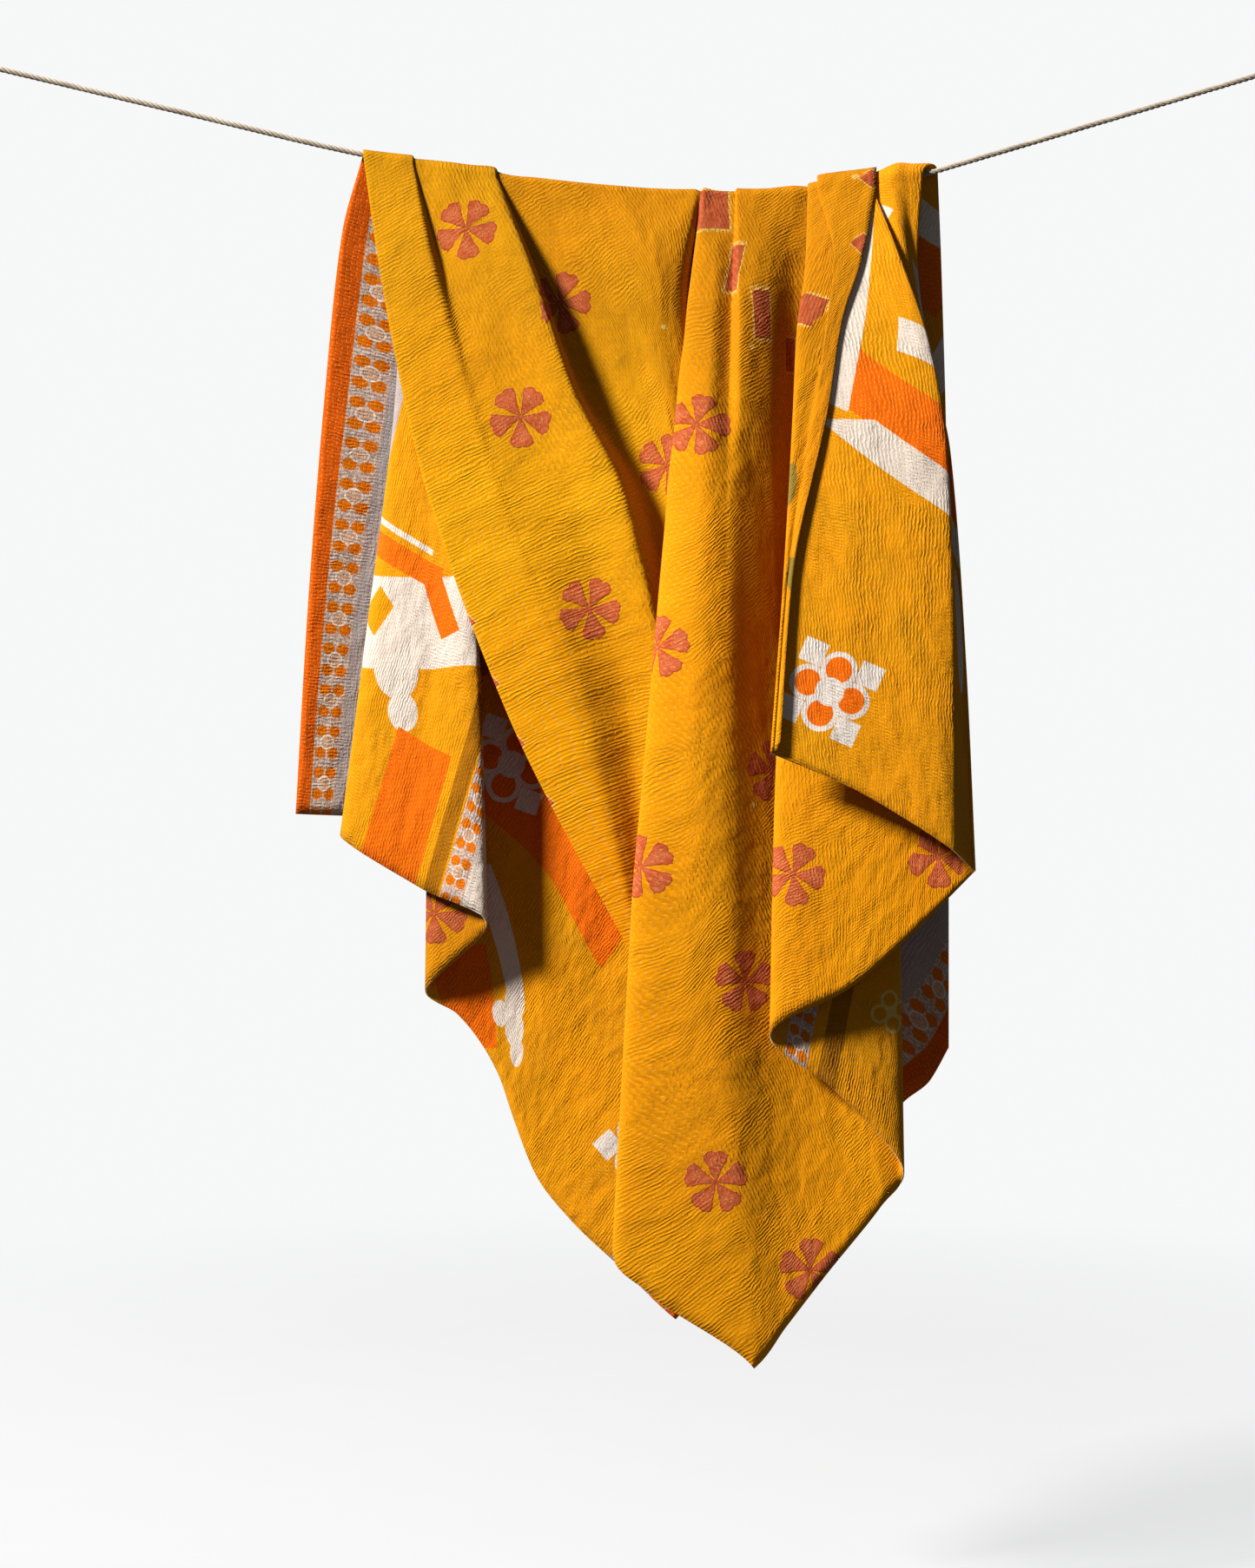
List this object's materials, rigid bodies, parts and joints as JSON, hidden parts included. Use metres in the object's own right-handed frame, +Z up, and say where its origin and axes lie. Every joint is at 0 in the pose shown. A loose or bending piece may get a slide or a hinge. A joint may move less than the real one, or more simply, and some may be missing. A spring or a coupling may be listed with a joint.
{
  "type": "kantha quilt draped over a rope line with eye plates",
  "caption": "Stitched two-sided quilt draped cornerwise over a taut twisted rope, which is tied to a wall plate with an eye at each end.",
  "frame": {"origin": "centre of the left eye plate's outer face, which goes against a wall", "axes": "+X from the left plate to the right plate, +Y away from the viewer, +Z up"},
  "size_m": [1.412, 0.2099, 1.3614],
  "materials": {
    "quilt_cloth": "soft matt cotton, hand stitched all over",
    "rope_fibre": "rough twisted plant fibre",
    "plate_steel": "plain satin steel"
  },
  "bodies": {
    "root": {"quilt": "quilt_cloth", "rope": "rope_fibre", "knot_left": "rope_fibre", "knot_right": "rope_fibre", "loop_left": "rope_fibre", "loop_right": "rope_fibre", "eye_plate_left": "plate_steel", "eye_plate_right": "plate_steel"}
  },
  "joints": []
}
